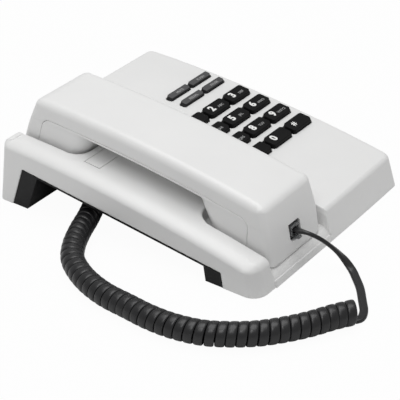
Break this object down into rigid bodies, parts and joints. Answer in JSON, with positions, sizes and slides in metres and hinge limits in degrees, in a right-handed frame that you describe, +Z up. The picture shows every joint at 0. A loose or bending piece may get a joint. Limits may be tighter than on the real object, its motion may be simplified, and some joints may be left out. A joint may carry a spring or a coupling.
{
  "type": "corded telephone",
  "caption": "Corded desk telephone with a cradled handset, push-button keypad, sprung hook lever and curly handset cord",
  "frame": {"origin": "middle of the base's footprint, on the desk", "axes": "+X is the user's right, +Y is the rear of the phone, +Z is up"},
  "size_m": [0.2069, 0.2576, 0.0674],
  "materials": {
    "upper_housing": "moulded ABS, light satin sheen",
    "lower_housing": "black moulded ABS",
    "rubber_feet": "soft rubber",
    "housing_screws": "zinc plated steel",
    "main_board": "phenolic board",
    "board_components": "moulded component bodies",
    "keypad_board": "glass-epoxy board",
    "keypad_mat": "silicone rubber",
    "keypad_ribbon": "flat flexible cable",
    "keypad_screws": "zinc plated steel",
    "buzzer": "moulded case",
    "hook_switch": "moulded plastic, fine matt grain",
    "hook_lever": "moulded ABS, light satin sheen",
    "hook_spring": "zinc plated steel",
    "base_jack": "moulded plastic, fine matt grain",
    "line_jack": "moulded plastic, fine matt grain",
    "base_plug": "clear polycarbonate",
    "key_1": "black moulded key with light printed legend",
    "key_2": "black moulded key with light printed legend",
    "key_3": "black moulded key with light printed legend",
    "key_4": "black moulded key with light printed legend",
    "key_5": "black moulded key with light printed legend",
    "key_6": "black moulded key with light printed legend",
    "key_7": "black moulded key with light printed legend",
    "key_8": "black moulded key with light printed legend",
    "key_9": "black moulded key with light printed legend",
    "key_star": "black moulded key with light printed legend",
    "key_0": "black moulded key with light printed legend",
    "key_hash": "black moulded key with light printed legend",
    "key_mute": "dark grey soft key",
    "key_flash": "dark grey soft key",
    "key_redial": "dark grey soft key",
    "key_pause": "dark grey soft key",
    "handset_upper_shell": "moulded ABS, light satin sheen",
    "handset_lower_shell": "moulded ABS, light satin sheen",
    "receiver": "moulded plastic, fine matt grain",
    "receiver_gasket": "foam rubber",
    "microphone": "drawn aluminium can",
    "microphone_boot": "soft rubber",
    "handset_weight": "plain cast iron",
    "handset_jack": "moulded plastic, fine matt grain",
    "handset_wires": "insulated wire",
    "handset_screws": "zinc plated steel",
    "handset_plug": "clear polycarbonate",
    "cord_front_tail": "black soft PVC jacket",
    "cord_coil": "black soft PVC jacket",
    "cord_rear_tail": "black soft PVC jacket"
  },
  "bodies": {
    "base": {"upper_housing": "upper_housing", "lower_housing": "lower_housing", "rubber_feet": "rubber_feet", "housing_screws": "housing_screws", "main_board": "main_board", "board_components": "board_components", "keypad_board": "keypad_board", "keypad_mat": "keypad_mat", "keypad_ribbon": "keypad_ribbon", "keypad_screws": "keypad_screws", "buzzer": "buzzer", "hook_switch": "hook_switch", "hook_spring": "hook_spring", "base_jack": "base_jack", "line_jack": "line_jack", "base_plug": "base_plug", "cord_coil": "cord_coil", "cord_rear_tail": "cord_rear_tail"},
    "hook": {"hook_lever": "hook_lever"},
    "handset": {"handset_upper_shell": "handset_upper_shell", "handset_lower_shell": "handset_lower_shell", "receiver": "receiver", "receiver_gasket": "receiver_gasket", "microphone": "microphone", "microphone_boot": "microphone_boot", "handset_weight": "handset_weight", "handset_jack": "handset_jack", "handset_wires": "handset_wires", "handset_screws": "handset_screws", "handset_plug": "handset_plug", "cord_front_tail": "cord_front_tail"},
    "key_1": {"key_1": "key_1"},
    "key_2": {"key_2": "key_2"},
    "key_3": {"key_3": "key_3"},
    "key_4": {"key_4": "key_4"},
    "key_5": {"key_5": "key_5"},
    "key_6": {"key_6": "key_6"},
    "key_7": {"key_7": "key_7"},
    "key_8": {"key_8": "key_8"},
    "key_9": {"key_9": "key_9"},
    "key_star": {"key_star": "key_star"},
    "key_0": {"key_0": "key_0"},
    "key_hash": {"key_hash": "key_hash"},
    "key_mute": {"key_mute": "key_mute"},
    "key_flash": {"key_flash": "key_flash"},
    "key_redial": {"key_redial": "key_redial"},
    "key_pause": {"key_pause": "key_pause"}
  },
  "joints": [
    {"name": "handset_lift", "type": "slide", "parent": "base", "child": "handset", "axis": [0, 0, 1], "range_m": [0, 0.1]},
    {"name": "hook_lift", "type": "hinge", "parent": "base", "child": "hook", "pos_m": [-0.031, 0.0316, 0.03427], "axis": [1, 0, 0], "range_deg": [0, 7.5]},
    {"name": "key_1_press", "type": "slide", "parent": "base", "child": "key_1", "axis": [0, 0.1271, -0.9919], "range_m": [0, 0.0015], "stiffness_N_per_m": 300},
    {"name": "key_2_press", "type": "slide", "parent": "base", "child": "key_2", "axis": [0, 0.1271, -0.9919], "range_m": [0, 0.0015], "stiffness_N_per_m": 300},
    {"name": "key_3_press", "type": "slide", "parent": "base", "child": "key_3", "axis": [0, 0.1271, -0.9919], "range_m": [0, 0.0015], "stiffness_N_per_m": 300},
    {"name": "key_4_press", "type": "slide", "parent": "base", "child": "key_4", "axis": [0, 0.1271, -0.9919], "range_m": [0, 0.0015], "stiffness_N_per_m": 300},
    {"name": "key_5_press", "type": "slide", "parent": "base", "child": "key_5", "axis": [0, 0.1271, -0.9919], "range_m": [0, 0.0015], "stiffness_N_per_m": 300},
    {"name": "key_6_press", "type": "slide", "parent": "base", "child": "key_6", "axis": [0, 0.1271, -0.9919], "range_m": [0, 0.0015], "stiffness_N_per_m": 300},
    {"name": "key_7_press", "type": "slide", "parent": "base", "child": "key_7", "axis": [0, 0.1271, -0.9919], "range_m": [0, 0.0015], "stiffness_N_per_m": 300},
    {"name": "key_8_press", "type": "slide", "parent": "base", "child": "key_8", "axis": [0, 0.1271, -0.9919], "range_m": [0, 0.0015], "stiffness_N_per_m": 300},
    {"name": "key_9_press", "type": "slide", "parent": "base", "child": "key_9", "axis": [0, 0.1271, -0.9919], "range_m": [0, 0.0015], "stiffness_N_per_m": 300},
    {"name": "key_star_press", "type": "slide", "parent": "base", "child": "key_star", "axis": [0, 0.1271, -0.9919], "range_m": [0, 0.0015], "stiffness_N_per_m": 300},
    {"name": "key_0_press", "type": "slide", "parent": "base", "child": "key_0", "axis": [0, 0.1271, -0.9919], "range_m": [0, 0.0015], "stiffness_N_per_m": 300},
    {"name": "key_hash_press", "type": "slide", "parent": "base", "child": "key_hash", "axis": [0, 0.1271, -0.9919], "range_m": [0, 0.0015], "stiffness_N_per_m": 300},
    {"name": "key_mute_press", "type": "slide", "parent": "base", "child": "key_mute", "axis": [0, 0.1271, -0.9919], "range_m": [0, 0.0015], "stiffness_N_per_m": 300},
    {"name": "key_flash_press", "type": "slide", "parent": "base", "child": "key_flash", "axis": [0, 0.1271, -0.9919], "range_m": [0, 0.0015], "stiffness_N_per_m": 300},
    {"name": "key_redial_press", "type": "slide", "parent": "base", "child": "key_redial", "axis": [0, 0.1271, -0.9919], "range_m": [0, 0.0015], "stiffness_N_per_m": 300},
    {"name": "key_pause_press", "type": "slide", "parent": "base", "child": "key_pause", "axis": [0, 0.1271, -0.9919], "range_m": [0, 0.0015], "stiffness_N_per_m": 300}
  ],
  "couplings": [
    {"joint": "hook_lift", "follows": "handset_lift", "rad_per_m": 1.3}
  ]
}
